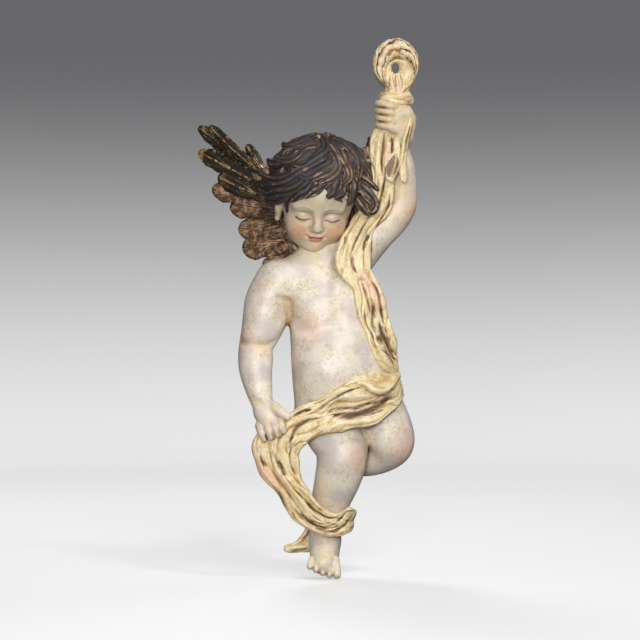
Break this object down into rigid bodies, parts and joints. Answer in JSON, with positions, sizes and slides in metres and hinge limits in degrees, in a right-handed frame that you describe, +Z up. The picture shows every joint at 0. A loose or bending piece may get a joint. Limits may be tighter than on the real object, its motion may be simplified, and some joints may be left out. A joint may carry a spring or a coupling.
{
  "type": "putto statue",
  "caption": "Hanging winged putto in painted cast plaster, one arm raised, gripping a long cloth whose knotted loop has the eye that it hangs by.",
  "frame": {"origin": "centre of the eye in the cloth's knotted loop, which the figure hangs by", "axes": "+Z up; the figure is seen from the front by looking along +Y; its own right hand is on the -X side"},
  "size_m": [0.2458, 0.2347, 0.5993],
  "materials": {
    "painted_plaster": "cast plaster painted ivory with pink and ochre glazes, dark bronzed hair and wings, cream cloth with brown in its folds, soft satin varnish"
  },
  "bodies": {
    "root": {"putto": "painted_plaster"}
  },
  "joints": []
}
